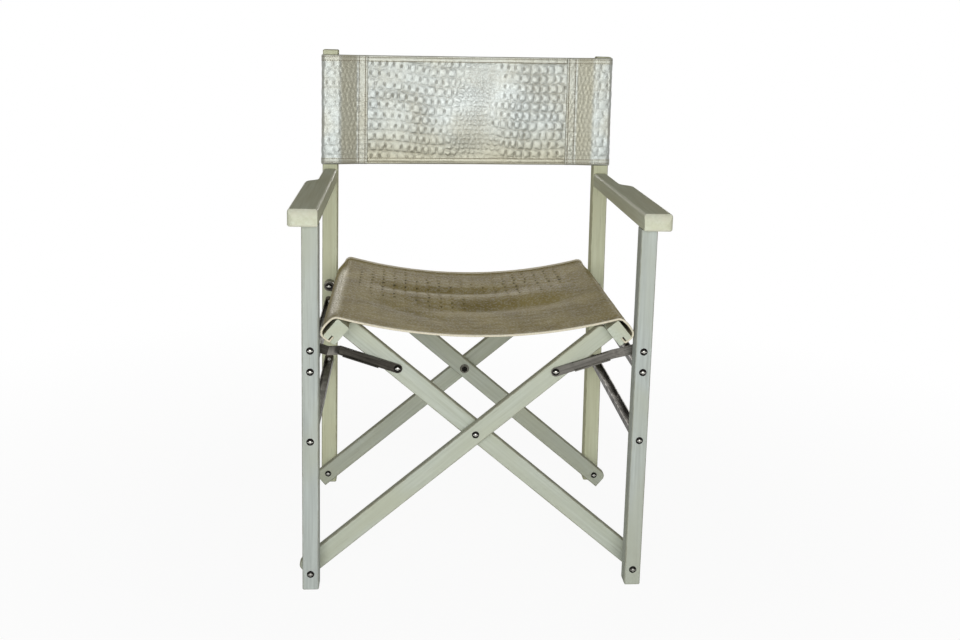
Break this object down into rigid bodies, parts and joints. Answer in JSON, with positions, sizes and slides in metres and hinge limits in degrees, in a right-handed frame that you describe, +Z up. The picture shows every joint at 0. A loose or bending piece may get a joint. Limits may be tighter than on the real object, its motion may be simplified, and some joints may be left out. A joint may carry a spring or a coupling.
{
  "type": "folding camp chair",
  "caption": "Folding camp chair: pale painted wood frame with crossed bars, armrests, metal side stretchers and links, and a croc-embossed leather sling seat and back.",
  "frame": {"origin": "on the floor, at the middle of the chair's width and of its depth", "axes": "+X to the right as the chair is seen from the front, +Y to the rear, +Z up; the front of the chair faces -Y"},
  "size_m": [0.59, 0.5416, 0.847],
  "materials": {
    "leg_paint": "satin grey-white paint",
    "post_paint": "satin ivory paint",
    "arm_paint": "satin ivory-grey paint",
    "bar_paint": "satin ivory paint",
    "stretcher_steel": "dull folded sheet",
    "link_steel": "gunmetal",
    "bolt_steel": "polished dome",
    "back_leather": "metallic champagne, embossed scales",
    "seat_leather": "olive-brown, embossed scales, cream cut edges"
  },
  "bodies": {
    "side_left": {"armrest_left": "arm_paint", "back_panel": "back_leather", "back_sleeve_left": "back_leather", "foot_pivot_bolts_left": "bolt_steel", "foot_spacers_left": "bolt_steel", "front_leg_left": "leg_paint", "link_bolts_left": "bolt_steel", "link_spacer_left": "bolt_steel", "lower_stretcher_left": "stretcher_steel", "rear_post_left": "post_paint", "stretcher_bolts_left": "bolt_steel", "upper_stretcher_left": "stretcher_steel"},
    "outer_frame": {"crossing_bolts": "bolt_steel", "crossing_washers": "bolt_steel", "outer_bar_front": "bar_paint", "outer_bar_rear": "bar_paint", "seat_panel": "seat_leather", "seat_rail_right": "bar_paint", "seat_wrap_right": "seat_leather"},
    "inner_frame": {"inner_bar_front": "bar_paint", "inner_bar_rear": "bar_paint", "seat_rail_left": "bar_paint", "seat_wrap_left": "seat_leather"},
    "side_right": {"armrest_right": "arm_paint", "back_sleeve_right": "back_leather", "foot_pivot_bolts_right": "bolt_steel", "foot_spacers_right": "bolt_steel", "front_leg_right": "leg_paint", "link_bolts_right": "bolt_steel", "lower_stretcher_right": "stretcher_steel", "rear_post_right": "post_paint", "stretcher_bolts_right": "bolt_steel", "upper_stretcher_right": "stretcher_steel"},
    "link_front_left": {"link_front_left": "link_steel", "link_rivet_front_left": "bolt_steel"},
    "link_rear_left": {"link_rear_left": "link_steel", "link_rivet_rear_left": "bolt_steel"},
    "link_front_right": {"link_front_right": "link_steel", "link_rivet_front_right": "bolt_steel"},
    "link_rear_right": {"link_rear_right": "link_steel", "link_rivet_rear_right": "bolt_steel"}
  },
  "joints": [
    {"name": "fold", "type": "hinge", "parent": "side_left", "child": "outer_frame", "pos_m": [-0.262, 0, 0.027], "axis": [0, -1, 0], "range_deg": [0, 33.82], "deforming": ["seat_panel", "back_panel"]},
    {"name": "cross_pivot", "type": "hinge", "parent": "outer_frame", "child": "inner_frame", "pos_m": [0, 0, 0.24684], "axis": [0, -1, 0], "range_deg": [-76.01, 0]},
    {"name": "right_foot_pivot", "type": "hinge", "parent": "inner_frame", "child": "side_right", "pos_m": [0.262, 0, 0.027], "axis": [0, -1, 0], "range_deg": [0, 33.83]},
    {"name": "link_front_left_pivot", "type": "hinge", "parent": "side_left", "child": "link_front_left", "pos_m": [-0.262, 0, 0.398], "axis": [0, -1, 0], "range_deg": [0, 77.43]},
    {"name": "link_rear_left_pivot", "type": "hinge", "parent": "side_left", "child": "link_rear_left", "pos_m": [-0.262, 0, 0.398], "axis": [0, -1, 0], "range_deg": [0, 77.43]},
    {"name": "link_front_right_pivot", "type": "hinge", "parent": "side_right", "child": "link_front_right", "pos_m": [0.262, 0, 0.398], "axis": [0, -1, 0], "range_deg": [-77.43, 0]},
    {"name": "link_rear_right_pivot", "type": "hinge", "parent": "side_right", "child": "link_rear_right", "pos_m": [0.262, 0, 0.398], "axis": [0, -1, 0], "range_deg": [-77.43, 0]}
  ],
  "couplings": [
    {"joint": "cross_pivot", "follows": "fold", "ratio": -2.2474},
    {"joint": "right_foot_pivot", "follows": "fold", "ratio": 1},
    {"joint": "link_front_left_pivot", "follows": "fold", "ratio": 2.2895},
    {"joint": "link_rear_left_pivot", "follows": "fold", "ratio": 2.2895},
    {"joint": "link_front_right_pivot", "follows": "fold", "ratio": -2.2895},
    {"joint": "link_rear_right_pivot", "follows": "fold", "ratio": -2.2895}
  ]
}
